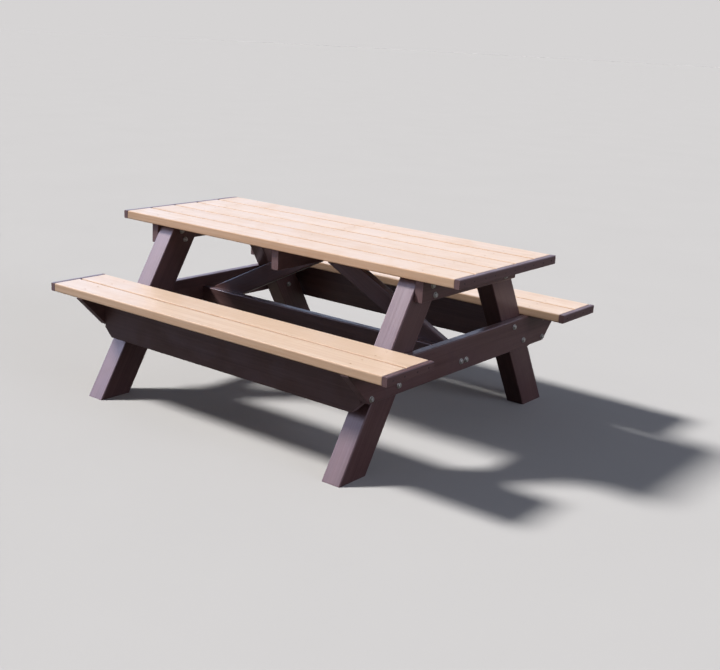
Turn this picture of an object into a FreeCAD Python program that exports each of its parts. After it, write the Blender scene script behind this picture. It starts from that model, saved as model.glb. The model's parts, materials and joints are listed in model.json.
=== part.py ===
"""Six-foot park picnic table: an A-frame with a plank top, two plank benches and bolted lumber.

Units are millimetres. X runs along the table, Y across it, Z up. The origin is on the
ground, under the centre of the top.
"""
import FreeCAD, Part
import math
import os

# ---- Lumber sections -------------------------------------------------------------------
PLANK_WIDTH = 140.0          # deck planks, seat beams and legs are cut from six-inch stock
PLANK_THICKNESS = 38.0       # two-inch stock, finished
BATTEN_WIDTH = 89.0          # cleats, rail and braces are four-inch stock
POST_THICKNESS = 89.0        # the legs are four-inch thick posts
APRON_WIDTH = 190.0          # the deep boards under the benches, not a standard section
TRIM_THICKNESS = 25.0        # strips across the plank ends
EDGE_RADIUS = 4.0            # moulded round on the long edges of every board

# ---- Overall sizes ---------------------------------------------------------------------
PLANK_LENGTH = 1829.0
PLANK_GAP = 9.5
TABLE_HEIGHT = 775.0
SEAT_HEIGHT = 489.0
SEAT_OUTER_Y = 790.0         # outer edge of each bench from the middle of the table
TOP_PLANKS = 5
SEAT_PLANKS = 2

# ---- Frame -----------------------------------------------------------------------------
LEG_OUTER_X = 727.0          # outer face of the legs from the middle of the table
LEG_SPLAY = 30.6             # degrees from upright
LEG_OUTER_Y = 303.0          # outer edge of a leg at the height of the table top
BEAM_HALF_LENGTH = 788.0
TOP_CLEAT_HALF_LENGTH = 350.0
APRON_CENTRE_Y = 643.0
APRON_CORNER_CUT = 42.0
BRACE_SLOPE = 26.57          # degrees below level

# ---- Fasteners -------------------------------------------------------------------------
BOLT_DIAMETER = 10.0
BOLT_HOLE = 11.0
HEX_ACROSS_FLATS = 17.0
HEX_FACE_DIAMETER = 16.2      # flat circle left by the chamfer on a head or nut
HEAD_HEIGHT = 6.4
NUT_HEIGHT = 8.4
WASHER_DIAMETER = 25.0
WASHER_THICKNESS = 2.0
BOLT_TAIL = 4.0              # thread that shows past the nut
LAG_THREAD_DIAMETER = 9.0
LAG_LENGTH = 115.0
TIP_RADIUS = 0.4
SCREW_DIAMETER = 4.5
SCREW_HEAD_DIAMETER = 9.0
SCREW_HEAD_DEPTH = 4.0
SCREW_RECESS = 0.6           # the screw heads sit this far below the plank surface
TOP_SCREW_LENGTH = 88.0
SEAT_SCREW_LENGTH = 65.0     # short enough to stay inside the sloping ends of the seat beams
TRIM_SCREW_LENGTH = 70.0
BRACE_SCREW_LENGTH = 75.0
BRACE_SCREW_SLANT = 24.0     # degrees between a brace's length and its screws
BRACE_SCREW_SETBACK = 45.0   # from the brace's top end to the screw heads
# Below the underside of the top, for the near face and the far face of the left and right brace.
BRACE_SCREW_DEPTHS = {-1: (48.0, 72.0), 1: (36.0, 60.0)}
HOLE_SPARE = 2.0             # a screw's hole runs this far past its point

# ---- Places worked out from the sizes above --------------------------------------------
TOP_UNDERSIDE = TABLE_HEIGHT - PLANK_THICKNESS
SEAT_UNDERSIDE = SEAT_HEIGHT - PLANK_THICKNESS
TOP_WIDTH = TOP_PLANKS * PLANK_WIDTH + (TOP_PLANKS - 1) * PLANK_GAP
SEAT_WIDTH = SEAT_PLANKS * PLANK_WIDTH + (SEAT_PLANKS - 1) * PLANK_GAP
SEAT_CENTRE_Y = SEAT_OUTER_Y - SEAT_WIDTH / 2
PLANK_END_X = PLANK_LENGTH / 2
LEG_INNER_X = LEG_OUTER_X - POST_THICKNESS
BEAM_OUTER_X = LEG_OUTER_X + PLANK_THICKNESS
BEAM_CENTRE_X = LEG_OUTER_X + PLANK_THICKNESS / 2
BEAM_BOTTOM = SEAT_UNDERSIDE - PLANK_WIDTH
CLEAT_BOTTOM = TOP_UNDERSIDE - BATTEN_WIDTH
CLEAT_HALF_THICKNESS = PLANK_THICKNESS / 2
RAIL_Y = -PLANK_THICKNESS    # the rail lies against the near side of the braces
SPLAY_TAN = math.tan(math.radians(LEG_SPLAY))
LEG_LEVEL_WIDTH = PLANK_WIDTH / math.cos(math.radians(LEG_SPLAY))
EDGE_MARGIN = 35.0           # from a board's edge to its nearest screw
BOLT_MARGIN = 30.0           # from a board's edge to its nearest bolt

# Each pair is a height and a place along the leg's level width, from its inner edge.
BEAM_BOLT_PLACES = [(BEAM_BOTTOM + 36.0, 0.48), (SEAT_UNDERSIDE - 28.0, 0.20)]
CLEAT_BOLT_PLACES = [(CLEAT_BOTTOM + 22.0, 0.38), (TOP_UNDERSIDE - 26.0, 0.66)]
APRON_LAG_HEIGHTS = [BEAM_BOTTOM + 20.0, SEAT_UNDERSIDE - BOLT_MARGIN]
RAIL_LAG_HEIGHT = BEAM_BOTTOM + 42.0

X_AXIS = FreeCAD.Vector(1, 0, 0)
Y_AXIS = FreeCAD.Vector(0, 1, 0)
Z_AXIS = FreeCAD.Vector(0, 0, 1)
PARALLEL = 0.99              # cosine above which two directions count as the same
OVERCUT = 5.0                # how far a cutting solid stands past the face that it cuts
PROBE_STEPS = 8              # points tried along a fastener when looking for the boards it meets


def vec(x, y, z):
    return FreeCAD.Vector(x, y, z)


def box(x0, x1, y0, y1, z0, z1):
    """Plain block between two opposite corners."""
    return Part.makeBox(x1 - x0, y1 - y0, z1 - z0, vec(x0, y0, z0))


def board(x0, x1, y0, y1, z0, z1, along):
    """Board with moulded round edges that run along the given axis."""
    block = box(x0, x1, y0, y1, z0, z1)
    long_edges = [e for e in block.Edges if abs(e.tangentAt(e.FirstParameter).dot(along)) > PARALLEL]
    return block.makeFillet(EDGE_RADIUS, long_edges)


def cylinder(diameter, start, direction, length):
    return Part.makeCylinder(diameter / 2, length, start, direction)


def cut_all(shape, tools):
    return shape.cut(Part.makeCompound(tools)) if tools else shape


def prism(points, along):
    """Solid made by pushing a flat polygon along a vector."""
    return Part.Face(Part.makePolygon(points + [points[0]])).extrude(along)


# ---- Fastener shapes -------------------------------------------------------------------
def hexagon(start, direction, height):
    """Hexagonal head or nut with its outer corners turned down at thirty degrees."""
    corner_radius = HEX_ACROSS_FLATS / math.sqrt(3)
    turns = [math.radians(60 * i) for i in range(6)]
    corners = [vec(corner_radius * math.cos(turn), corner_radius * math.sin(turn), 0) for turn in turns]
    face_radius = HEX_FACE_DIAMETER / 2
    turned = Part.makeCone(face_radius + height * math.sqrt(3), face_radius, height)
    block = prism(corners, vec(0, 0, height)).common(turned)
    block.Placement = FreeCAD.Placement(start, FreeCAD.Rotation(Z_AXIS, direction))
    return block


def washer(start, direction):
    ring = cylinder(WASHER_DIAMETER, start, direction, WASHER_THICKNESS)
    return ring.cut(cylinder(BOLT_HOLE, start, direction, WASHER_THICKNESS))


def bolt(face, direction, grip):
    """Hex bolt whose head stands on a washer at the face; the shank follows the direction."""
    head = hexagon(face - direction * WASHER_THICKNESS, direction * -1, HEAD_HEIGHT)
    length = grip + 2 * WASHER_THICKNESS + NUT_HEIGHT + BOLT_TAIL
    shank = cylinder(BOLT_DIAMETER, face - direction * WASHER_THICKNESS, direction, length)
    return head.fuse(shank).removeSplitter()


def nut(face, direction):
    """Nut that stands on its washer at the face, with the bolt's thread left clear."""
    seat = face + direction * WASHER_THICKNESS
    bore = cylinder(BOLT_DIAMETER, seat - direction * OVERCUT, direction, NUT_HEIGHT + 2 * OVERCUT)
    return hexagon(seat, direction, NUT_HEIGHT).cut(bore)


def lag(face, direction):
    """Hex lag screw: full shank through the first board, thread and point in the second."""
    head = hexagon(face - direction * WASHER_THICKNESS, direction * -1, HEAD_HEIGHT)
    shank_length = WASHER_THICKNESS + PLANK_THICKNESS
    shank = cylinder(BOLT_DIAMETER, face - direction * WASHER_THICKNESS, direction, shank_length)
    thread_start = face + direction * PLANK_THICKNESS
    thread_length = LAG_LENGTH - shank_length - LAG_THREAD_DIAMETER
    thread = cylinder(LAG_THREAD_DIAMETER, thread_start, direction, thread_length)
    point = Part.makeCone(LAG_THREAD_DIAMETER / 2, TIP_RADIUS, LAG_THREAD_DIAMETER,
                          thread_start + direction * thread_length, direction)
    return head.fuse([shank, thread, point]).removeSplitter()


def lag_hole(face, direction):
    """Clearance through the first board, thread-size hole in the second."""
    clear = cylinder(BOLT_HOLE, face - direction * OVERCUT, direction, PLANK_THICKNESS + OVERCUT)
    pilot = cylinder(LAG_THREAD_DIAMETER, face, direction, LAG_LENGTH + OVERCUT)
    return clear.fuse(pilot)


def screw(face, direction, length):
    """Countersunk deck screw, its head a little below the face."""
    top = face + direction * SCREW_RECESS
    head = Part.makeCone(SCREW_HEAD_DIAMETER / 2, SCREW_DIAMETER / 2, SCREW_HEAD_DEPTH, top, direction)
    shank = cylinder(SCREW_DIAMETER, top + direction * SCREW_HEAD_DEPTH, direction,
                     length - SCREW_HEAD_DEPTH - SCREW_DIAMETER)
    tip = Part.makeCone(SCREW_DIAMETER / 2, TIP_RADIUS, SCREW_DIAMETER,
                        top + direction * (length - SCREW_DIAMETER), direction)
    socket = cylinder(SCREW_DIAMETER, top, direction, SCREW_HEAD_DEPTH / 2)
    return head.fuse([shank, tip]).cut(socket).removeSplitter()


def screw_hole(face, direction, length):
    """Countersink with a straight mouth, then a hole of the screw's own diameter."""
    top = face + direction * SCREW_RECESS
    mouth = cylinder(SCREW_HEAD_DIAMETER, face - direction * OVERCUT, direction, SCREW_RECESS + OVERCUT)
    sink = Part.makeCone(SCREW_HEAD_DIAMETER / 2, SCREW_DIAMETER / 2, SCREW_HEAD_DEPTH, top, direction)
    return mouth.fuse([sink, cylinder(SCREW_DIAMETER, top, direction, length + HOLE_SPARE)])


# ---- Where the fasteners go ------------------------------------------------------------
def plank_centres(count, middle):
    """Y of each plank's centre line, for planks laid side by side about a middle."""
    pitch = PLANK_WIDTH + PLANK_GAP
    return [middle + (i - (count - 1) / 2) * pitch for i in range(count)]


TOP_CENTRES = plank_centres(TOP_PLANKS, 0.0)
SEAT_CENTRES = {"front": plank_centres(SEAT_PLANKS, -SEAT_CENTRE_Y),
                "rear": plank_centres(SEAT_PLANKS, SEAT_CENTRE_Y)}


def leg_inner_y(z):
    """Distance of a leg's inner edge from the middle of the table at a height."""
    return LEG_OUTER_Y + SPLAY_TAN * (TABLE_HEIGHT - z) - LEG_LEVEL_WIDTH


def through_bolts(places):
    """Face point and direction of each bolt that joins a board to the outside of the legs."""
    spots = []
    for side in (-1, 1):
        for end in (-1, 1):
            for z, share in places:
                y = end * (leg_inner_y(z) + share * LEG_LEVEL_WIDTH)
                spots.append((vec(side * BEAM_OUTER_X, y, z), X_AXIS * -side))
    return spots


BOLTS = through_bolts(BEAM_BOLT_PLACES) + through_bolts(CLEAT_BOLT_PLACES)
BOLT_GRIP = PLANK_THICKNESS + POST_THICKNESS
APRON_LAGS = [(vec(side * BEAM_OUTER_X, end * APRON_CENTRE_Y, z), X_AXIS * -side)
              for side in (-1, 1) for end in (-1, 1) for z in APRON_LAG_HEIGHTS]
RAIL_LAGS = [(vec(side * BEAM_OUTER_X, y, RAIL_LAG_HEIGHT), X_AXIS * -side)
             for side in (-1, 1) for y in (RAIL_Y, 0.0)]
LAGS = APRON_LAGS + RAIL_LAGS


def deck_screws(centres, supports, z):
    """Two screws through every plank into every support below it."""
    return [(vec(x, y + offset, z), Z_AXIS * -1)
            for x in supports for y in centres
            for offset in (EDGE_MARGIN - PLANK_WIDTH / 2, PLANK_WIDTH / 2 - EDGE_MARGIN)]


def trim_screws(centres, z):
    """Two screws through the end strip into the end of every plank."""
    outer = PLANK_END_X + TRIM_THICKNESS
    return [(vec(side * outer, y + offset, z - PLANK_THICKNESS / 2), X_AXIS * -side)
            for side in (-1, 1) for y in centres
            for offset in (EDGE_MARGIN - PLANK_WIDTH / 2, PLANK_WIDTH / 2 - EDGE_MARGIN)]


SEAT_SUPPORTS = (-BEAM_CENTRE_X, BEAM_CENTRE_X)
TOP_SUPPORTS = (-BEAM_CENTRE_X, 0.0, BEAM_CENTRE_X)
TOP_SCREWS = deck_screws(TOP_CENTRES, TOP_SUPPORTS, TABLE_HEIGHT)
SEAT_SCREWS = deck_screws(SEAT_CENTRES["front"] + SEAT_CENTRES["rear"], SEAT_SUPPORTS, SEAT_HEIGHT)
TOP_TRIM_SCREWS = trim_screws(TOP_CENTRES, TABLE_HEIGHT)
SEAT_TRIM_SCREWS = trim_screws(SEAT_CENTRES["front"] + SEAT_CENTRES["rear"], SEAT_HEIGHT)


def brace_screws():
    """Two screws on the slant through each brace's top end into the centre cleat."""
    slant = math.radians(BRACE_SCREW_SLANT)
    head_x = CLEAT_HALF_THICKNESS + BRACE_SCREW_SETBACK
    spots = []
    for side, depths in BRACE_SCREW_DEPTHS.items():
        for face, depth in zip((-1, 1), depths):
            head = vec(side * head_x, face * PLANK_THICKNESS / 2, TOP_UNDERSIDE - depth)
            spots.append((head, vec(-side * math.cos(slant), -face * math.sin(slant), 0)))
    return spots


BRACE_SCREWS = brace_screws()


# ---- Holes -----------------------------------------------------------------------------
def near(shape, start, direction, length):
    """Whether a fastener's line passes through the box around a shape."""
    space = FreeCAD.BoundBox(shape.BoundBox)
    space.enlarge(OVERCUT)
    reach = direction * (length / PROBE_STEPS)
    return any(space.isInside(start + reach * step) for step in range(PROBE_STEPS + 1))


def drill(shape):
    """Cut every fastener's hole out of a board."""
    tools = []
    for face, direction in BOLTS:
        if near(shape, face, direction, BOLT_GRIP):
            tools.append(cylinder(BOLT_HOLE, face - direction * OVERCUT, direction,
                                  BOLT_GRIP + 2 * OVERCUT))
    for face, direction in LAGS:
        if near(shape, face, direction, LAG_LENGTH):
            tools.append(lag_hole(face, direction))
    for spots, length in ((TOP_SCREWS, TOP_SCREW_LENGTH),
                          (SEAT_SCREWS, SEAT_SCREW_LENGTH),
                          (TOP_TRIM_SCREWS + SEAT_TRIM_SCREWS, TRIM_SCREW_LENGTH),
                          (BRACE_SCREWS, BRACE_SCREW_LENGTH)):
        tools += [screw_hole(face, direction, length) for face, direction in spots
                  if near(shape, face, direction, length)]
    return cut_all(shape, tools)


# ---- Boards ----------------------------------------------------------------------------
def plank(y, z_top):
    return board(-PLANK_END_X, PLANK_END_X, y - PLANK_WIDTH / 2, y + PLANK_WIDTH / 2,
                 z_top - PLANK_THICKNESS, z_top, X_AXIS)


def end_trim(side, y0, y1, z_top):
    inner = side * PLANK_END_X
    outer = side * (PLANK_END_X + TRIM_THICKNESS)
    return board(min(inner, outer), max(inner, outer), y0, y1, z_top - PLANK_THICKNESS, z_top, Y_AXIS)


def leg(side, end):
    """Sloping post cut level at the ground and under the top."""
    x0 = LEG_INNER_X if side > 0 else -LEG_OUTER_X
    splay = math.radians(LEG_SPLAY)
    length = TABLE_HEIGHT / math.cos(splay) + 2 * PLANK_WIDTH
    post = board(x0, x0 + POST_THICKNESS, -PLANK_WIDTH, 0, -length, PLANK_WIDTH, Z_AXIS)
    post.rotate(vec(0, 0, 0), X_AXIS, LEG_SPLAY)
    post.translate(vec(0, LEG_OUTER_Y, TABLE_HEIGHT))
    if end < 0:
        post = post.mirror(vec(0, 0, 0), Y_AXIS)
    room = box(x0 - OVERCUT, x0 + POST_THICKNESS + OVERCUT, -SEAT_OUTER_Y, SEAT_OUTER_Y, 0, TOP_UNDERSIDE)
    return post.common(room)


def clip_corners(shape, half_length, z_low, size, along):
    """Cut the two lower corners off a board that stands on edge."""
    other = Y_AXIS if along == X_AXIS else X_AXIS
    reach = 2 * half_length
    tools = []
    for end in (-1, 1):
        tip = along * (end * (half_length + OVERCUT))
        corner = [tip + vec(0, 0, z_low + size + OVERCUT),
                  tip + vec(0, 0, z_low - OVERCUT),
                  along * (end * (half_length - size - OVERCUT)) + vec(0, 0, z_low - OVERCUT)]
        tools.append(prism([p - other * reach for p in corner], other * (2 * reach)))
    return cut_all(shape, tools)


def seat_beam(side):
    x0 = LEG_OUTER_X if side > 0 else -BEAM_OUTER_X
    beam = board(x0, x0 + PLANK_THICKNESS, -BEAM_HALF_LENGTH, BEAM_HALF_LENGTH,
                 BEAM_BOTTOM, SEAT_UNDERSIDE, Y_AXIS)
    return clip_corners(beam, BEAM_HALF_LENGTH, BEAM_BOTTOM, PLANK_WIDTH - EDGE_RADIUS, Y_AXIS)


def top_cleat(x0):
    """Batten across the underside of the top."""
    return board(x0, x0 + PLANK_THICKNESS, -TOP_CLEAT_HALF_LENGTH, TOP_CLEAT_HALF_LENGTH,
                 CLEAT_BOTTOM, TOP_UNDERSIDE, Y_AXIS)


def apron(end):
    """Deep board on edge under the joint between a bench's two planks."""
    y0 = end * APRON_CENTRE_Y - PLANK_THICKNESS / 2
    bottom = SEAT_UNDERSIDE - APRON_WIDTH
    deep = board(-LEG_OUTER_X, LEG_OUTER_X, y0, y0 + PLANK_THICKNESS, bottom, SEAT_UNDERSIDE, X_AXIS)
    return clip_corners(deep, LEG_OUTER_X, bottom, APRON_CORNER_CUT, X_AXIS)


def centre_rail():
    return board(-LEG_OUTER_X, LEG_OUTER_X, RAIL_Y - PLANK_THICKNESS / 2, RAIL_Y + PLANK_THICKNESS / 2,
                 BEAM_BOTTOM, BEAM_BOTTOM + BATTEN_WIDTH, X_AXIS)


def brace(side):
    """Batten on edge from the centre cleat down to a seat beam."""
    half = PLANK_THICKNESS / 2
    run = board(-BATTEN_WIDTH, 2 * LEG_OUTER_X, -half, half, -BATTEN_WIDTH, 0, X_AXIS)
    run.rotate(vec(0, 0, 0), Y_AXIS, BRACE_SLOPE)
    run.translate(vec(CLEAT_HALF_THICKNESS, 0, TOP_UNDERSIDE))
    room = box(CLEAT_HALF_THICKNESS, LEG_OUTER_X, -2 * half, 2 * half, BEAM_BOTTOM, TOP_UNDERSIDE)
    run = run.common(room)
    return run if side > 0 else run.mirror(vec(0, 0, 0), X_AXIS)


# ---- The whole table -------------------------------------------------------------------
def boards():
    parts = {}
    for i, y in enumerate(TOP_CENTRES):
        parts["top_plank_%d" % (i + 1)] = plank(y, TABLE_HEIGHT)
    for row, centres in SEAT_CENTRES.items():
        for name, y in zip(("outer", "inner"), sorted(centres, key=abs, reverse=True)):
            parts["%s_seat_plank_%s" % (row, name)] = plank(y, SEAT_HEIGHT)
    for side, word in ((-1, "left"), (1, "right")):
        parts["top_end_trim_" + word] = end_trim(side, -TOP_WIDTH / 2, TOP_WIDTH / 2, TABLE_HEIGHT)
        for row, end in (("front", -1), ("rear", 1)):
            middle = end * SEAT_CENTRE_Y
            parts["%s_seat_end_trim_%s" % (row, word)] = end_trim(
                side, middle - SEAT_WIDTH / 2, middle + SEAT_WIDTH / 2, SEAT_HEIGHT)
            parts["leg_%s_%s" % (row, word)] = leg(side, end)
        parts["seat_beam_" + word] = seat_beam(side)
        parts["top_cleat_" + word] = top_cleat(LEG_OUTER_X if side > 0 else -BEAM_OUTER_X)
        parts["brace_" + word] = brace(side)
    parts["top_cleat_centre"] = top_cleat(-CLEAT_HALF_THICKNESS)
    parts["centre_rail"] = centre_rail()
    parts["front_seat_apron"] = apron(-1)
    parts["rear_seat_apron"] = apron(1)
    return {name: drill(shape) for name, shape in parts.items()}


def fasteners():
    """Identical fasteners share a node as a group of separate solids."""
    groups = {
        "frame_bolts": [bolt(face, way, BOLT_GRIP) for face, way in BOLTS],
        "frame_bolt_nuts": [nut(face + way * BOLT_GRIP, way) for face, way in BOLTS],
        "frame_bolt_washers": [washer(face, way * -1) for face, way in BOLTS]
        + [washer(face + way * BOLT_GRIP, way) for face, way in BOLTS],
        "apron_lag_screws": [lag(face, way) for face, way in APRON_LAGS],
        "rail_and_brace_lag_screws": [lag(face, way) for face, way in RAIL_LAGS],
        "lag_screw_washers": [washer(face, way * -1) for face, way in LAGS],
        "top_deck_screws": [screw(face, way, TOP_SCREW_LENGTH) for face, way in TOP_SCREWS],
        "seat_deck_screws": [screw(face, way, SEAT_SCREW_LENGTH) for face, way in SEAT_SCREWS],
        "top_trim_screws": [screw(face, way, TRIM_SCREW_LENGTH) for face, way in TOP_TRIM_SCREWS],
        "seat_trim_screws": [screw(face, way, TRIM_SCREW_LENGTH) for face, way in SEAT_TRIM_SCREWS],
        "brace_screws": [screw(face, way, BRACE_SCREW_LENGTH) for face, way in BRACE_SCREWS],
    }
    return {name: Part.makeCompound(solids) for name, solids in groups.items()}


def main():
    os.makedirs("parts", exist_ok=True)
    for name, shape in {**boards(), **fasteners()}.items():
        shape.exportStep("parts/%s.step" % name)


main()
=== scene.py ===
"""Picnic table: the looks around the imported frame.

Every board is rebuilt as a fine mesh with the relief of moulded plastic lumber, then cut to the
frame's own ends and holes. Lengths are in metres.
"""
import json
import math

import bmesh
import bpy
import numpy as np
from mathutils import Matrix, Vector


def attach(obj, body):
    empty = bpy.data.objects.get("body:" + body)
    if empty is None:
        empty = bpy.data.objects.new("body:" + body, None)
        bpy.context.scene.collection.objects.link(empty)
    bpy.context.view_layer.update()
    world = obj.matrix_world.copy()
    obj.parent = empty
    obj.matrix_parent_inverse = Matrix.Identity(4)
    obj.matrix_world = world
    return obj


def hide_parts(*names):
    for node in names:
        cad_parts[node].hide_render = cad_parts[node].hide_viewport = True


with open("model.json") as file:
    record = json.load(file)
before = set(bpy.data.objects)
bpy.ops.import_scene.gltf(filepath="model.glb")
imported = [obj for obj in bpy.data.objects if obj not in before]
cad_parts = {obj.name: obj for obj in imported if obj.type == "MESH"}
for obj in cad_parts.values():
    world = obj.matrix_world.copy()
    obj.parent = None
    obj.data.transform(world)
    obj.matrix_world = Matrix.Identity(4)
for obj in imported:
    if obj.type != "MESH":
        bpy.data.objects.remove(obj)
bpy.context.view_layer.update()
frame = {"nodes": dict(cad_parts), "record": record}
SLOT_OF = {part["node"]: part["material_slot"] for part in frame["record"]["subparts"]}

# ---- Lumber geometry -------------------------------------------------------------------
CORNER_RADIUS = 0.005        # a little over the frame's own round, so that cutting leaves it whole
CORNER_STEPS = 5
PROFILE_STEP = 0.0025        # spacing of the points round a board
RING_STEP = 0.016            # spacing of the rings along a board
OVERRUN = 0.012              # length past the frame's ends before the board is cut
SKIN = 0.00005               # least distance between the relief and the frame's own surface
STREAK_DEPTH = 0.00022       # fine lengthwise brush marks
HOLLOW_DEPTH = 0.00035       # slow hollows where the plastic shrank as it cooled
EASE_RADIUS = 0.0014         # round worn on to the sawn ends
EASE_LOOPS = (0.0014, 0.0009, 0.00045, 0.00015)   # distances of its edge loops from the cut
END_AREA = 0.0005            # smallest flat face that counts as a sawn end
SMOOTH_ANGLE = math.radians(32)
SAME_WAY = 0.9999            # least dot product of two normals that count as parallel
WELD_DISTANCE = 1e-6
STREAK_CELL, STREAK_LANES = 0.16, 1      # one patch of noise: its length, and its lanes round a board
HOLLOW_CELL, HOLLOW_LANES = 0.45, 14
TONE_SEED = 500              # keeps a board's tone apart from the draws for its relief


def weld(mesh):
    """Copy of a frame mesh with its split vertices joined again."""
    work = bmesh.new()
    work.from_mesh(mesh)
    bmesh.ops.remove_doubles(work, verts=work.verts, dist=WELD_DISTANCE)
    welded = bpy.data.meshes.new("welded")
    work.to_mesh(welded)
    work.free()
    return welded


def points_of(node):
    mesh = frame["nodes"][node].data
    points = np.empty(len(mesh.vertices) * 3)
    mesh.vertices.foreach_get("co", points)
    return points.reshape(-1, 3)


def board_axes(node):
    """Along, across and through directions of a board: the tightest box on any of its long edges."""
    points = points_of(node)
    span = points.max(0) - points.min(0)
    flat = int(np.argmin(span)) if node[:4] != "leg_" else 0
    through = np.eye(3)[flat]
    mesh = frame["nodes"][node].data
    ends = np.array([edge.vertices for edge in mesh.edges])
    edges = points[ends[:, 1]] - points[ends[:, 0]]
    edges = edges - np.outer(edges @ through, through)
    lengths = np.linalg.norm(edges, axis=1)
    best = None
    for edge in edges[lengths > 0.6 * lengths.max()]:
        along = edge / np.linalg.norm(edge)
        across = np.cross(through, along)
        area = np.ptp(points @ along) * np.ptp(points @ across)
        if best is None or area < best[0]:
            best = (area, along, across)
    along, across = best[1], best[2]
    axes = np.array([along, across, through])
    local = points @ axes.T
    centre = (local.max(0) + local.min(0)) / 2 @ axes
    return axes, centre, np.ptp(local, axis=0)


def sawn_ends(node, axes):
    """Point and outward normal of each flat end or clipped corner of a board."""
    mesh = frame["nodes"][node].data
    ends = []
    for face in mesh.polygons:
        middle, normal = np.array(face.center), np.array(face.normal)
        if abs(normal @ axes[2]) > 0.02 or abs(normal @ axes[1]) > 0.98:
            continue
        for end in ends:
            if normal @ end[2] > SAME_WAY and abs((middle - end[1]) @ end[2]) < 1e-4:
                end[0] += face.area
                break
        else:
            ends.append([face.area, middle, normal])
    return [(point, normal) for area, point, normal in ends if area > END_AREA]


def ease_ends(work, ends):
    """Round a blank towards each plane that it will be cut on."""
    for point, normal in ends:
        for distance in EASE_LOOPS:
            bmesh.ops.bisect_plane(work, geom=work.verts[:] + work.edges[:] + work.faces[:],
                                   dist=WELD_DISTANCE, plane_no=normal,
                                   plane_co=point - normal * distance)
    work.normal_update()
    moves = []
    for vert in work.verts:
        inset = 0.0
        for point, normal in ends:
            depth = float((point - np.array(vert.co)) @ normal)
            if depth < EASE_RADIUS:
                rest = EASE_RADIUS - max(depth, 0.0)
                inset += EASE_RADIUS - math.sqrt(EASE_RADIUS ** 2 - rest ** 2)
        if inset:
            moves.append((vert, vert.normal * min(inset, EASE_RADIUS)))
    for vert, move in moves:
        vert.co -= move


def section(width, thickness):
    """Points round a rounded rectangle and the outward direction at each."""
    half_w, half_t = width / 2 - CORNER_RADIUS, thickness / 2 - CORNER_RADIUS
    corners = [(half_w, half_t, 0), (-half_w, half_t, 90),
               (-half_w, -half_t, 180), (half_w, -half_t, 270)]
    points, outward = [], []
    for i, (cx, cy, start) in enumerate(corners):
        for step in range(CORNER_STEPS + 1):
            angle = math.radians(start + 90 * step / CORNER_STEPS)
            way = np.array([math.cos(angle), math.sin(angle)])
            points.append(np.array([cx, cy]) + CORNER_RADIUS * way)
            outward.append(way)
        nx, ny, _ = corners[(i + 1) % 4]
        first = points[-1]
        last = np.array([nx, ny]) + CORNER_RADIUS * outward[-1]
        count = max(1, round(np.linalg.norm(last - first) / PROFILE_STEP))
        for step in range(1, count):
            points.append(first + (last - first) * step / count)
            outward.append(outward[-1])
    return np.array(points), np.array(outward)


def lengthwise_noise(rng, stations, lanes, cell, lane_cell):
    """Smooth noise in 0..1, stretched along the board: one lattice value per cell, blended."""
    rows = int(stations[-1] / cell) + 3
    columns = int(lanes / lane_cell) + 1
    lattice = rng.random((rows, columns))
    lattice = np.hstack([lattice, lattice[:, :1]])
    u = stations / cell
    v = np.arange(lanes) / lanes * columns
    iu, iv = u.astype(int), v.astype(int)
    fu, fv = u - iu, v - iv
    fu, fv = fu * fu * (3 - 2 * fu), fv * fv * (3 - 2 * fv)
    low = lattice[iu][:, iv] * (1 - fv) + lattice[iu][:, iv + 1] * fv
    high = lattice[iu + 1][:, iv] * (1 - fv) + lattice[iu + 1][:, iv + 1] * fv
    return low * (1 - fu[:, None]) + high * fu[:, None]


def moulded_blank(node, seed):
    """Over-long board with streaks and shrinkage hollows in its surface, all of them inwards."""
    axes, centre, size = board_axes(node)
    rng = np.random.default_rng(seed)
    points, outward = section(size[1], size[2])
    reach = size[0] + 2 * OVERRUN
    count = max(2, round(reach / RING_STEP))
    stations = np.linspace(0, reach, count + 1)
    lanes = len(points)
    relief = STREAK_DEPTH * lengthwise_noise(rng, stations, lanes, STREAK_CELL, STREAK_LANES)
    relief = relief + HOLLOW_DEPTH * lengthwise_noise(rng, stations, lanes, HOLLOW_CELL, HOLLOW_LANES)
    inset = SKIN + relief
    profile = points[None] - outward[None] * inset[..., None]
    local = np.empty((len(stations), lanes, 3))
    local[..., 0] = (stations - reach / 2)[:, None]
    local[..., 1:] = profile
    world = local.reshape(-1, 3) @ axes + centre
    faces = []
    for ring in range(len(stations) - 1):
        a, b = ring * lanes, (ring + 1) * lanes
        faces += [(a + i, b + i, b + (i + 1) % lanes, a + (i + 1) % lanes) for i in range(lanes)]
    faces.append(tuple(range(lanes)))
    faces.append(tuple(range(len(world) - 1, len(world) - lanes - 1, -1)))
    mesh = bpy.data.meshes.new(node + "_blank")
    mesh.from_pydata(world.tolist(), [], faces)
    work = bmesh.new()
    work.from_mesh(mesh)
    bmesh.ops.recalc_face_normals(work, faces=work.faces)
    ease_ends(work, sawn_ends(node, axes))
    work.to_mesh(mesh)
    work.free()
    return mesh, axes, centre, size


def apply_modifiers(obj):
    """Give an object the mesh that its modifiers make, and return it."""
    graph = bpy.context.evaluated_depsgraph_get()
    mesh = bpy.data.meshes.new_from_object(obj.evaluated_get(graph))
    obj.modifiers.clear()
    obj.data = mesh
    mesh.name = obj.name
    return mesh


def add_object(name, mesh):
    obj = bpy.data.objects.new(name, mesh)
    bpy.context.scene.collection.objects.link(obj)
    return obj


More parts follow.
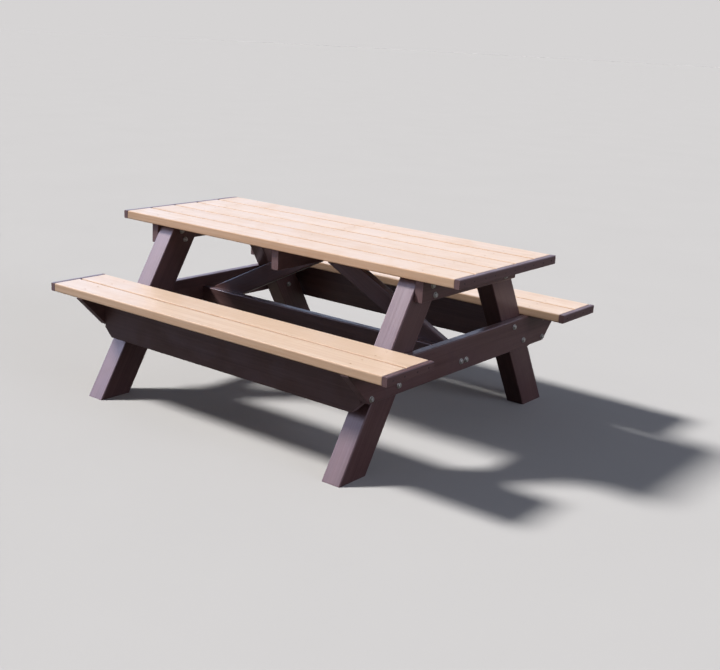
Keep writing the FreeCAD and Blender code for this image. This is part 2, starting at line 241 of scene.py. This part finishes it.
def lumber_piece(node, seed):
    """Board piece for a frame node: the moulded blank, cut to the node's own ends and holes."""
    blank, axes, centre, size = moulded_blank(node, seed)
    obj = add_object(node + "_lumber", blank)
    cutter = add_object("cutter", weld(frame["nodes"][node].data))
    cut = obj.modifiers.new("cut", "BOOLEAN")
    cut.operation = "INTERSECT"
    cut.solver = "MANIFOLD"
    cut.object = cutter
    mesh = apply_modifiers(obj)
    bpy.data.objects.remove(cutter)
    ends = sawn_ends(node, axes)
    for face in mesh.polygons:
        middle, normal = np.array(face.center), np.array(face.normal)
        face.use_smooth = not any(normal @ way > SAME_WAY and abs((middle - point) @ way) < 1e-5
                                  for point, way in ends)
    mesh.set_sharp_from_angle(angle=SMOOTH_ANGLE)
    even = obj.modifiers.new("even", "WEIGHTED_NORMAL")
    even.keep_sharp = True
    mesh = apply_modifiers(obj)
    obj["grain_along"] = list(axes[0])
    obj["grain_across"] = list(axes[1])
    obj["board_centre"] = list(centre)
    obj["board_half"] = list(size / 2)
    obj["board_tone"] = float(np.random.default_rng(seed + TONE_SEED).random())
    mesh.materials.clear()
    mesh.materials.append(MATERIALS[SLOT_OF[node]])
    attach(obj, "root")
    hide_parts(node)


# ---- Fastener geometry -----------------------------------------------------------------
# Every fastener is turned about its own axis: z runs inwards from the outer face of its head.
HEX_ACROSS_FLATS = 0.017
HEX_FACE_RADIUS = 0.0081     # flat circle inside the chamfer
HEX_POWER = 44               # how crisp the six corners are
HEX_FLAT_RADIUS = 0.0077     # ring inside the chamfer on a head's or nut's face
HEAD_MIDDLE_RADIUS = 0.004
NECK_ROUND = 0.0003          # fillet between a head and its shank
HEAD_HEIGHT = 0.0064
SHANK_RADIUS = 0.005
BOLT_PITCH = 0.0015
BOLT_THREAD = 0.026
WASHER_OUTER = 0.0125
WASHER_INNER = 0.0055
LAG_SHANK = 0.040            # plain length under a lag screw's head
LAG_PITCH = 0.0038
LAG_ROOT = 0.0032
LAG_CREST = 0.0045
SCREW_HEAD_RADIUS = 0.0045
SCREW_HEAD_DEPTH = 0.004
SCREW_NECK = 0.00165
SCREW_CREST = 0.00225
SCREW_PLAIN = 0.022          # unthreaded length of a deck screw
SCREW_PITCH = 0.0026
RECESS_RADIUS = 0.0021
RECESS_DEPTH = 0.0019
STEPS_PER_PITCH = 6
STEEL_LANES = 48             # points round a hex head
SCREW_LANES = 18             # points round a screw: three to each lobe of its recess


def turns(lanes):
    return 2 * math.pi * np.arange(lanes) / lanes


def hexagon(lanes):
    """Radius of a hexagon with very slightly rounded corners, at each point round it."""
    flats = np.abs(np.cos(turns(lanes)[:, None] - np.radians([30, 90, 150])))
    return HEX_ACROSS_FLATS / 2 * (flats ** HEX_POWER).sum(1) ** (-1 / HEX_POWER)


def hex_side(z0, z1, lanes, chamfer_far):
    """Rings down the side of a head or nut, chamfered at the first face and, if asked, the second."""
    rings = []
    depth = z1 - z0
    for d in (0.0, 0.00005, 0.00015, 0.0003, 0.0005, 0.0008, 0.0011, 0.5 * depth):
        cone = HEX_FACE_RADIUS + math.sqrt(3) * d - 0.00012 * math.exp(-d / 0.00006)
        rings.append((z0 + d, np.minimum(hexagon(lanes), cone)))
    far = [(z0 + z1 - z, radii) for z, radii in reversed(rings[:-1])] if chamfer_far else []
    return rings + (far or [(z1 - 0.0002, hexagon(lanes)), (z1, hexagon(lanes) - 0.00012)])


def thread(z0, z1, pitch, root, crest, lanes):
    """Rings of a helical thread that fades in at its start and out at its end."""
    count = max(2, round((z1 - z0) / pitch * STEPS_PER_PITCH))
    rings = []
    for z in np.linspace(z0, z1, count + 1):
        phase = (z / pitch - turns(lanes) / (2 * math.pi)) % 1.0
        ridge = np.clip(2.2 * (1 - np.abs(2 * phase - 1)) - 1.0, 0.0, 1.0)
        fade = min(1.0, (z - z0) / pitch, (z1 - z) / pitch)
        rings.append((z, root + (crest - root) * ridge * fade))
    return rings


def pointed(body, length, crest):
    """A thread drawn in to a blunt point over the last three crest radii."""
    taper = 3 * crest
    return [(z, radii * min(1.0, max(0.08, (length - z) / taper))) for z, radii in body]


def ring(z, radius, lanes):
    return (z, np.full(lanes, radius))


def head_rings(lanes):
    """Hex head down to the start of its shank."""
    rings = [ring(0.0, HEAD_MIDDLE_RADIUS, lanes), ring(0.0, HEX_FLAT_RADIUS, lanes)]
    rings += hex_side(0.0, HEAD_HEIGHT, lanes, False)
    return rings + [ring(HEAD_HEIGHT, SHANK_RADIUS + NECK_ROUND, lanes),
                    ring(HEAD_HEIGHT + NECK_ROUND, SHANK_RADIUS, lanes)]


def bolt_rings(length):
    lanes = STEEL_LANES
    rings = head_rings(lanes)
    tip = length - 0.001
    rings += [ring(length - BOLT_THREAD - 0.0005, SHANK_RADIUS, lanes)]
    rings += thread(length - BOLT_THREAD, tip, BOLT_PITCH, SHANK_RADIUS - 0.00085, SHANK_RADIUS, lanes)
    return rings + [ring(length, SHANK_RADIUS - 0.0014, lanes)]


def nut_rings(length):
    lanes = STEEL_LANES
    bore = SHANK_RADIUS + 0.00002
    outside = hex_side(0.0, length, lanes, True)
    return [ring(0.0, bore + 0.0006, lanes), ring(0.0, HEX_FLAT_RADIUS, lanes)] + outside + [
        ring(length, HEX_FLAT_RADIUS, lanes), ring(length, bore + 0.0006, lanes),
        ring(length - 0.0006, bore, lanes), ring(0.0006, bore, lanes)]


def washer_rings(length):
    lanes = STEEL_LANES
    rounds = [(0.0, -0.0006), (0.00006, -0.00025), (0.00022, -0.00006), (0.0005, 0.0)]
    rings = [ring(0.0, WASHER_INNER + 0.0002, lanes)]
    rings += [ring(z, WASHER_OUTER + r, lanes) for z, r in rounds]
    rings += [ring(length - 0.0001, WASHER_OUTER, lanes), ring(length, WASHER_OUTER - 0.0001, lanes)]
    return rings + [ring(length, WASHER_INNER + 0.0001, lanes),
                    ring(length - 0.0001, WASHER_INNER, lanes), ring(0.0002, WASHER_INNER, lanes)]


def lag_rings(length):
    lanes = STEEL_LANES
    rings = head_rings(lanes)
    start = HEAD_HEIGHT + LAG_SHANK
    rings += [ring(start - 0.001, SHANK_RADIUS, lanes)]
    body = thread(start, length, LAG_PITCH, LAG_ROOT, LAG_CREST, lanes)
    return rings + pointed(body, length, LAG_CREST)


def screw_rings(length):
    lanes = SCREW_LANES
    lobes = RECESS_RADIUS * (1 + 0.13 * np.cos(6 * turns(lanes)))
    rings = [(RECESS_DEPTH, lobes * 0.55), (RECESS_DEPTH - 0.0002, lobes * 0.95),
             (0.0001, lobes), (0.0, lobes + 0.0001)]
    rings += [ring(0.0, SCREW_HEAD_RADIUS - 0.00025, lanes),
              ring(0.00008, SCREW_HEAD_RADIUS - 0.00006, lanes),
              ring(0.0003, SCREW_HEAD_RADIUS - 0.0001, lanes)]
    for share in (0.25, 0.5, 0.75, 1.0):
        flare = (1 - share) ** 1.25
        radius = SCREW_NECK + (SCREW_HEAD_RADIUS - 0.0001 - SCREW_NECK) * flare
        rings.append(ring(0.0003 + share * (SCREW_HEAD_DEPTH - 0.0003), radius, lanes))
    rings += [ring(SCREW_PLAIN, SCREW_NECK, lanes)]
    body = thread(SCREW_PLAIN, length, SCREW_PITCH, SCREW_NECK - 0.00015, SCREW_CREST, lanes)
    return rings + pointed(body, length, SCREW_CREST)


FASTENER_RINGS = {
    "frame_bolts": bolt_rings, "frame_bolt_nuts": nut_rings, "frame_bolt_washers": washer_rings,
    "apron_lag_screws": lag_rings, "rail_and_brace_lag_screws": lag_rings,
    "lag_screw_washers": washer_rings,
    "top_deck_screws": screw_rings, "seat_deck_screws": screw_rings, "top_trim_screws": screw_rings,
    "seat_trim_screws": screw_rings, "brace_screws": screw_rings,
}
HOLLOW = ("frame_bolt_nuts", "frame_bolt_washers", "lag_screw_washers")


def turned(rings, hollow):
    """Vertices and faces of a turned shape, closed at its two tips or, when hollow, into a loop."""
    lanes = len(rings[0][1])
    angles = turns(lanes)
    verts = [(r * math.cos(a), r * math.sin(a), z) for z, radii in rings for r, a in zip(radii, angles)]
    faces = []
    for i in range(len(rings) if hollow else len(rings) - 1):
        a, b = i * lanes, (i + 1) % len(rings) * lanes
        faces += [(a + j, a + (j + 1) % lanes, b + (j + 1) % lanes, b + j) for j in range(lanes)]
    if not hollow:
        for first, z in ((0, rings[0][0]), ((len(rings) - 1) * lanes, rings[-1][0])):
            verts.append((0.0, 0.0, z))
            faces += [(first + j, first + (j + 1) % lanes, len(verts) - 1) for j in range(lanes)]
    return np.array(verts), faces


def islands(mesh):
    """Vertex positions of each separate solid in a frame mesh."""
    work = bmesh.new()
    work.from_mesh(mesh)
    work.verts.ensure_lookup_table()
    unseen = set(range(len(work.verts)))
    found = []
    while unseen:
        stack, group = [unseen.pop()], []
        while stack:
            vert = work.verts[stack.pop()]
            group.append(np.array(vert.co))
            for edge in vert.link_edges:
                index = edge.other_vert(vert).index
                if index in unseen:
                    unseen.remove(index)
                    stack.append(index)
        found.append(np.array(group))
    work.free()
    return found


def radial(points, origin, axis):
    offset = points - origin
    return offset - np.outer(offset @ axis, axis)


def placing(points, flat):
    """Axis, corner direction, head point and length of one fastener.

    A flat fastener's axis is the direction in which it is thinnest, a long one's the direction in
    which it is longest. The head is at the end with the wider face.
    """
    middle = (points.max(0) + points.min(0)) / 2
    _, directions = np.linalg.eigh(np.cov((points - points.mean(0)).T))
    axis = directions[:, 0 if flat else 2]
    along = (points - middle) @ axis
    tips = [points[along < along.min() + 1e-5].mean(0), points[along > along.max() - 1e-5].mean(0)]
    if flat:
        tips = [middle + axis * along.min(), middle + axis * along.max()]
        if tips[0][0] * (tips[1] - tips[0])[0] > 0:
            tips.reverse()
    else:
        axis = (tips[1] - tips[0]) / np.linalg.norm(tips[1] - tips[0])
        reach = []
        for tip in tips:
            face = points[np.abs((points - tip) @ axis) < 1e-4]
            reach.append(np.linalg.norm(radial(face, tip, axis), axis=1).max())
        if reach[1] > reach[0]:
            tips.reverse()
    axis = tips[1] - tips[0]
    length = float(np.linalg.norm(axis))
    axis = axis / length
    spread = radial(points, tips[0], axis)
    corner = spread[np.argmax(np.linalg.norm(spread, axis=1))]
    return axis, corner / np.linalg.norm(corner), tips[0], length


def fastener_piece(node):
    """All the fasteners of one node, each turned in full detail at its frame solid's place."""
    welded = weld(frame["nodes"][node].data)
    hollow = node in HOLLOW
    verts, faces, made = [], [], {}
    for points in islands(welded):
        axis, corner, origin, length = placing(points, hollow)
        size = round(length, 5)
        if size not in made:
            made[size] = turned(FASTENER_RINGS[node](size), hollow)
        shape, shape_faces = made[size]
        start = sum(len(v) for v in verts)
        verts.append(shape @ np.array([corner, np.cross(axis, corner), axis]) + origin)
        faces += [tuple(start + i for i in face) for face in shape_faces]
    mesh = bpy.data.meshes.new(node + "_detail")
    mesh.from_pydata(np.concatenate(verts).tolist(), [], faces)
    work = bmesh.new()
    work.from_mesh(mesh)
    bmesh.ops.recalc_face_normals(work, faces=work.faces)
    work.to_mesh(mesh)
    work.free()
    for face in mesh.polygons:
        face.use_smooth = True
    mesh.set_sharp_from_angle(angle=SMOOTH_ANGLE)
    mesh.materials.append(MATERIALS[SLOT_OF[node]])
    obj = add_object(mesh.name, mesh)
    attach(obj, "root")
    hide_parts(node)


# ---- Materials -------------------------------------------------------------------------
class Nodes:
    """Short calls for building one material's node tree."""

    def __init__(self, name, world=None):
        self.material = world or bpy.data.materials.new(name)
        self.material.use_nodes = True
        self.tree = self.material.node_tree
        self.surface = self.tree.nodes["Background" if world else "Principled BSDF"]

    def add(self, kind, inputs=None, **settings):
        node = self.tree.nodes.new(kind)
        for key, value in settings.items():
            setattr(node, key, value)
        for key, value in (inputs or {}).items():
            self.set(node.inputs[key], value)
        return node

    def set(self, socket, value):
        if isinstance(value, bpy.types.NodeSocket):
            self.tree.links.new(value, socket)
        else:
            socket.default_value = value

    def math(self, operation, a, b=0.0, clamp=False):
        node = self.add("ShaderNodeMath", {0: a, 1: b}, operation=operation, use_clamp=clamp)
        return node.outputs[0]

    def vector(self, operation, a, b=(0, 0, 0)):
        node = self.add("ShaderNodeVectorMath", {0: a, 1: b}, operation=operation)
        return node.outputs["Value" if operation == "DOT_PRODUCT" else "Vector"]

    def combine(self, x, y, z):
        return self.add("ShaderNodeCombineXYZ", {0: x, 1: y, 2: z}).outputs[0]

    def noise(self, place, scale, detail=2.0, roughness=0.5, distortion=0.0):
        node = self.add("ShaderNodeTexNoise", {"Vector": place, "Scale": scale, "Detail": detail,
                                               "Roughness": roughness, "Distortion": distortion})
        return node.outputs["Fac"]

    def remap(self, value, low, high, to_low=0.0, to_high=1.0):
        node = self.add("ShaderNodeMapRange", {"Value": value, "From Min": low, "From Max": high,
                                               "To Min": to_low, "To Max": to_high})
        node.interpolation_type = "SMOOTHSTEP"
        return node.outputs["Result"]

    def mix(self, factor, a, b, blend="MIX"):
        node = self.add("ShaderNodeMix", data_type="RGBA", blend_type=blend)
        for index, value in ((0, factor), (6, a), (7, b)):
            self.set(node.inputs[index], value)
        return node.outputs[2]

    def attribute(self, name, output="Vector"):
        node = self.add("ShaderNodeAttribute", attribute_type="OBJECT", attribute_name=name)
        return node.outputs[output]

    def bump(self, height, distance, normal=None):
        node = self.add("ShaderNodeBump", {"Height": height, "Distance": distance, "Strength": 1.0})
        if normal is not None:
            self.set(node.inputs["Normal"], normal)
        return node.outputs["Normal"]


def grey(value):
    return (value, value, value, 1.0)


def scaled(colour, strength):
    return tuple(strength * channel for channel in colour[:3]) + (1.0,)


def lumber_material(name, base, dark, light, worn, gap_shade, gap_shade_strength, roughness, sheen, dust):
    """Moulded plastic lumber: streaks along each board, clouded colour, worn long edges, sawn ends, and
    painted shade on the long sides by the gaps.
    """
    n = Nodes(name)
    place = n.add("ShaderNodeTexCoord").outputs["Object"]
    along, across = n.attribute("grain_along"), n.attribute("grain_across")
    local = n.vector("SUBTRACT", place, n.attribute("board_centre"))
    half = n.add("ShaderNodeSeparateXYZ", {0: n.attribute("board_half")})
    tone = n.attribute("board_tone", "Fac")
    u = n.vector("DOT_PRODUCT", local, along)
    v = n.vector("DOT_PRODUCT", local, across)
    w = n.vector("DOT_PRODUCT", local, n.vector("CROSS_PRODUCT", along, across))
    start = n.math("MULTIPLY", tone, 37.0)
    shifted = n.math("ADD", u, start)

    def stretched(lengthwise, crosswise):
        return n.combine(n.math("MULTIPLY", shifted, lengthwise), n.math("MULTIPLY", v, crosswise),
                         n.math("MULTIPLY", w, crosswise))

    fine = n.noise(stretched(5.0, 420.0), 1.0, 3.0, 0.6)
    streak = n.noise(stretched(1.6, 120.0), 1.0, 3.0, 0.6, 0.4)
    broad = n.noise(stretched(0.7, 30.0), 1.0, 2.0)
    cloud = n.noise(n.combine(shifted, v, w), 7.0, 3.0, 0.55, 0.6)
    peel = n.noise(n.combine(shifted, v, w), 900.0, 2.0)

    colour = n.mix(n.remap(streak, 0.30, 0.72), dark, light)
    colour = n.mix(0.55, colour, base)
    colour = n.mix(n.remap(broad, 0.35, 0.70, 0.0, 0.45), colour, light)
    colour = n.mix(n.remap(cloud, 0.45, 0.75, 0.0, 0.35), colour, dark)
    colour = n.mix(n.remap(fine, 0.60, 0.80, 0.0, 0.35), colour, dark)
    colour = n.mix(n.math("MULTIPLY", tone, 0.22), colour, dark)

    edge_v = n.math("DIVIDE", n.math("ABSOLUTE", v), half.outputs[1])
    edge_w = n.math("DIVIDE", n.math("ABSOLUTE", w), half.outputs[2])
    edge = n.remap(n.math("MULTIPLY", edge_v, edge_w), 0.86, 0.99)
    patchy = n.remap(n.noise(stretched(14.0, 60.0), 1.0, 4.0, 0.65), 0.42, 0.66)
    wear = n.math("MULTIPLY", edge, patchy)
    colour = n.mix(n.math("MULTIPLY", wear, 0.25), colour, worn)

    # Painted shade: the long sides of each board, down in the gaps between planks and on the outer side
    # faces, are drawn towards the darker side colour. The same mask makes them rougher further on.
    side = n.math("MULTIPLY", n.remap(edge_v, 0.940, 0.975), gap_shade_strength)
    colour = n.mix(n.math("MULTIPLY", side, n.remap(streak, 0.3, 0.7, 0.4, 0.8)), colour, gap_shade)

    facing = n.add("ShaderNodeNewGeometry").outputs["True Normal"]
    sawn = n.remap(n.math("ABSOLUTE", n.vector("DOT_PRODUCT", facing, along)), 0.5, 0.7)
    core = n.remap(n.math("MAXIMUM", edge_v, edge_w), 0.70, 0.92, 1.0, 0.0)
    pores = n.remap(n.noise(local, 480.0, 2.0, 0.7), 0.52, 0.62)
    cut = n.mix(n.math("MULTIPLY", pores, n.math("MULTIPLY", core, 0.6)), light, dark)
    colour = n.mix(n.math("MULTIPLY", sawn, 0.5), colour, cut)
    n.set(n.surface.inputs["Base Color"], colour)

    gloss = n.remap(cloud, 0.3, 0.7, roughness - 0.05, roughness + 0.07)
    gloss = n.math("ADD", gloss, n.math("MULTIPLY", fine, 0.06))
    gloss = n.math("ADD", gloss, n.math("MULTIPLY", wear, 0.12))
    gloss = n.math("ADD", gloss, n.math("MULTIPLY", side, 0.35))
    gloss = n.math("ADD", gloss, n.math("MULTIPLY", sawn, 0.3), clamp=True)
    n.set(n.surface.inputs["Roughness"], gloss)
    n.set(n.surface.inputs["Specular Tint"], sheen)
    n.set(n.surface.inputs["Sheen Weight"], n.remap(cloud, 0.3, 0.7, 0.85 * dust, 1.15 * dust))
    n.set(n.surface.inputs["Sheen Roughness"], 0.35)
    n.set(n.surface.inputs["Sheen Tint"], sheen)

    saw_marks = n.math("SINE", n.math("MULTIPLY", n.math("ADD", v, n.math("MULTIPLY", w, 0.35)), 2600.0))
    height = n.math("ADD", n.math("MULTIPLY", fine, 0.5), n.math("MULTIPLY", streak, 0.5))
    height = n.math("ADD", height, n.math("MULTIPLY", peel, 0.12))
    height = n.math("ADD", height, n.math("MULTIPLY", n.math("MULTIPLY", saw_marks, sawn), 0.15))
    height = n.math("SUBTRACT", height, n.math("MULTIPLY", n.math("MULTIPLY", pores, sawn), 0.45))
    n.set(n.surface.inputs["Normal"], n.bump(height, 0.0004))
    return n.material


def galvanised_material(name):
    """Hot-dip galvanised steel: dull grey with soft spangles and a little white bloom."""
    n = Nodes(name)
    place = n.add("ShaderNodeTexCoord").outputs["Object"]
    spangle = n.add("ShaderNodeTexVoronoi", {"Vector": place, "Scale": 420.0}).outputs["Color"]
    spangle = n.vector("DOT_PRODUCT", spangle, (0.4, 0.3, 0.3))
    bloom = n.noise(place, 260.0, 4.0, 0.6)
    colour = n.mix(spangle, (0.33, 0.32, 0.30, 1), (0.50, 0.48, 0.45, 1))
    colour = n.mix(n.remap(bloom, 0.52, 0.72, 0.0, 0.5), colour, (0.58, 0.56, 0.53, 1))
    n.set(n.surface.inputs["Base Color"], colour)
    n.set(n.surface.inputs["Metallic"], n.remap(bloom, 0.50, 0.75, 0.95, 0.55))
    n.set(n.surface.inputs["Roughness"], n.remap(spangle, 0.2, 0.8, 0.34, 0.52))
    n.set(n.surface.inputs["Normal"], n.bump(bloom, 0.00008))
    return n.material


def coated_material(name, colour, chipped):
    """Coated screw: matt paint with the coating rubbed thin in places."""
    n = Nodes(name)
    place = n.add("ShaderNodeTexCoord").outputs["Object"]
    rubbed = n.remap(n.noise(place, 700.0, 3.0, 0.6), 0.55, 0.70)
    n.set(n.surface.inputs["Base Color"], n.mix(n.math("MULTIPLY", rubbed, 0.6), colour, chipped))
    n.set(n.surface.inputs["Metallic"], n.math("MULTIPLY", rubbed, 0.5))
    n.set(n.surface.inputs["Roughness"], n.remap(rubbed, 0.0, 1.0, 0.5, 0.36))
    n.set(n.surface.inputs["Normal"], n.bump(rubbed, 0.00005))
    return n.material


# In each lumber below, the colour given after worn is painted shade for the long sides of the boards and
# the gaps between them. The number on the next line is its strength: full on the cedar, none on the
# brown.
MATERIALS = {
    "cedar_lumber": lumber_material(
        "cedar_lumber", base=(0.70, 0.532, 0.398, 1), dark=(0.57, 0.395, 0.272, 1),
        light=(0.765, 0.605, 0.475, 1), worn=(0.80, 0.66, 0.53, 1), gap_shade=(0.48, 0.285, 0.165, 1),
        gap_shade_strength=1.0, roughness=0.36, sheen=(1, 1, 1, 1), dust=0.0),
    "brown_lumber": lumber_material(
        "brown_lumber", base=(0.100, 0.048, 0.046, 1), dark=(0.062, 0.028, 0.027, 1),
        light=(0.145, 0.080, 0.078, 1), worn=(0.20, 0.14, 0.14, 1), gap_shade=(0.075, 0.038, 0.036, 1),
        gap_shade_strength=0.0, roughness=0.35, sheen=(0.97, 0.90, 1, 1), dust=0.10),
    "galvanised_steel": galvanised_material("galvanised_steel"),
    "tan_coated_steel": coated_material(
        "tan_coated_steel", colour=(0.50, 0.32, 0.20, 1), chipped=(0.42, 0.36, 0.30, 1)),
    "brown_coated_steel": coated_material(
        "brown_coated_steel", colour=(0.06, 0.034, 0.033, 1), chipped=(0.20, 0.17, 0.16, 1)),
}


# ---- The table -------------------------------------------------------------------------
for seed, node in enumerate(sorted(SLOT_OF)):
    if SLOT_OF[node].endswith("steel"):
        fastener_piece(node)
    else:
        lumber_piece(node, seed)


# ---- Studio ----------------------------------------------------------------------------
FLOOR_RADIUS = 80.0
FLOOR_SHADE = 0.50
FLOOR_BOUNCE = (0.13, 0.125, 0.11, 1)      # what the floor throws back, as low as outdoor ground
KEY_FROM = Vector((-0.66, -0.30, 0.69)).normalized()
KEY_STRENGTH = 5.2
KEY_SPREAD = math.radians(10)
KEY_COLOUR = (1.0, 0.965, 0.93)
SHEEN_FROM = Vector((-0.66, -0.59, 0.47)).normalized()
SHEEN_DISTANCE = 6.0
SHEEN_SIZE = 4.0
SHEEN_POWER = 200
SHEEN_COLOUR = (0.86, 0.82, 1.0)
FILL_FROM = Vector((0.95, 0.05, 0.30)).normalized()
FILL_STRENGTH = 0.80
FILL_SPREAD = math.radians(30)
SKY_COLOUR = (0.80, 0.84, 1.0)
SKY_STRENGTH = 0.18
GLARE_COLOUR = (0.74, 0.80, 1.0)     # what the sky looks like in a reflection
GLARE_STRENGTH = 1.05
GLOW_FROM = Vector((-0.93, 0.0, 0.36)).normalized()
GLOW_COLOUR = (0.5, 1.2, 2.2, 1)     # added round that direction, on the sun's side
GLOW_POWER = 4.0


def floor_glow():
    """Colour of the lit floor far from the table: the sky takes it over at the horizon."""
    key = KEY_STRENGTH * KEY_FROM.z / math.pi
    fill = FILL_STRENGTH * FILL_FROM.z / math.pi + SKY_STRENGTH
    return tuple(FLOOR_SHADE * (key * k + fill * f) for k, f in zip(KEY_COLOUR, SKY_COLOUR)) + (1.0,)


def is_camera_ray(n):
    return n.add("ShaderNodeLightPath").outputs["Is Camera Ray"]


def floor():
    """Plain pale floor out to the horizon."""
    work = bmesh.new()
    bmesh.ops.create_circle(work, cap_ends=True, segments=128, radius=FLOOR_RADIUS)
    mesh = bpy.data.meshes.new("floor")
    work.to_mesh(mesh)
    work.free()
    n = Nodes("floor")
    place = n.add("ShaderNodeTexCoord").outputs["Object"]
    shade = n.mix(n.noise(place, 1.3, 3.0), grey(FLOOR_SHADE * 0.98), grey(FLOOR_SHADE * 1.02))
    n.set(n.surface.inputs["Base Color"], n.mix(is_camera_ray(n), FLOOR_BOUNCE, shade))
    n.set(n.surface.inputs["Roughness"], 1.0)
    n.set(n.surface.inputs["Specular IOR Level"], 0.0)
    mesh.materials.append(n.material)
    add_object("floor", mesh)


def lights():
    """A soft key like high sun, a broad cool light from the left for sheen, and a dim sky."""
    scene = bpy.context.scene
    key = bpy.data.objects.new("key_light", bpy.data.lights.new("key_light", "SUN"))
    key.data.energy = KEY_STRENGTH
    key.data.angle = KEY_SPREAD
    key.data.color = KEY_COLOUR
    key.rotation_euler = KEY_FROM.to_track_quat("Z", "Y").to_euler()
    scene.collection.objects.link(key)

    sheen = bpy.data.objects.new("sheen_light", bpy.data.lights.new("sheen_light", "AREA"))
    sheen.data.size = SHEEN_SIZE
    sheen.data.energy = SHEEN_POWER
    sheen.data.color = SHEEN_COLOUR
    sheen.location = SHEEN_FROM * SHEEN_DISTANCE
    sheen.rotation_euler = SHEEN_FROM.to_track_quat("Z", "Y").to_euler()
    sheen.visible_diffuse = False
    scene.collection.objects.link(sheen)

    fill = bpy.data.objects.new("fill_light", bpy.data.lights.new("fill_light", "SUN"))
    fill.data.energy = FILL_STRENGTH
    fill.data.angle = FILL_SPREAD
    fill.data.color = SKY_COLOUR
    fill.rotation_euler = FILL_FROM.to_track_quat("Z", "Y").to_euler()
    scene.collection.objects.link(fill)

    sky()


def sky():
    """Dim for diffuse light, brighter in reflections, and the floor's own colour to the camera."""
    world = bpy.data.worlds.new("studio")
    bpy.context.scene.world = world
    n = Nodes("sky", world)
    path = n.add("ShaderNodeLightPath").outputs
    way = n.add("ShaderNodeTexCoord").outputs["Generated"]
    glow = n.math("POWER", n.math("MAXIMUM", n.vector("DOT_PRODUCT", way, GLOW_FROM), 0.0), GLOW_POWER)
    glare = n.mix(glow, scaled(GLARE_COLOUR, GLARE_STRENGTH), GLOW_COLOUR, "ADD")
    unseen = n.mix(path["Is Glossy Ray"], scaled(SKY_COLOUR, SKY_STRENGTH), glare)
    n.set(n.surface.inputs["Color"], n.mix(path["Is Camera Ray"], unseen, floor_glow()))


# ---- Camera ----------------------------------------------------------------------------
CAMERA_PLACE = Vector((3.101, -3.798, 1.670))
CAMERA_YAW = math.radians(37.31)      # turned from +Y towards -X
CAMERA_PITCH = math.radians(15.57)    # looking down
CAMERA_ROLL = math.radians(3.06)
CAMERA_LENS = 55.75                   # millimetres, on a 36 mm wide sensor


def camera():
    forward = Vector((-math.sin(CAMERA_YAW) * math.cos(CAMERA_PITCH),
                      math.cos(CAMERA_YAW) * math.cos(CAMERA_PITCH), -math.sin(CAMERA_PITCH)))
    level = Vector((math.cos(CAMERA_YAW), math.sin(CAMERA_YAW), 0))
    upright = level.cross(forward)
    right = math.cos(CAMERA_ROLL) * level + math.sin(CAMERA_ROLL) * upright
    up = math.cos(CAMERA_ROLL) * upright - math.sin(CAMERA_ROLL) * level
    cam = bpy.data.objects.new("camera", bpy.data.cameras.new("camera"))
    cam.data.lens = CAMERA_LENS
    cam.data.sensor_width = 36.0
    turn = Matrix((right, up, -forward)).transposed()
    cam.matrix_world = Matrix.LocRotScale(CAMERA_PLACE, turn.to_quaternion(), None)
    bpy.context.scene.collection.objects.link(cam)
    bpy.context.scene.camera = cam


floor()
lights()
camera()
bpy.context.scene.view_settings.view_transform = "Standard"
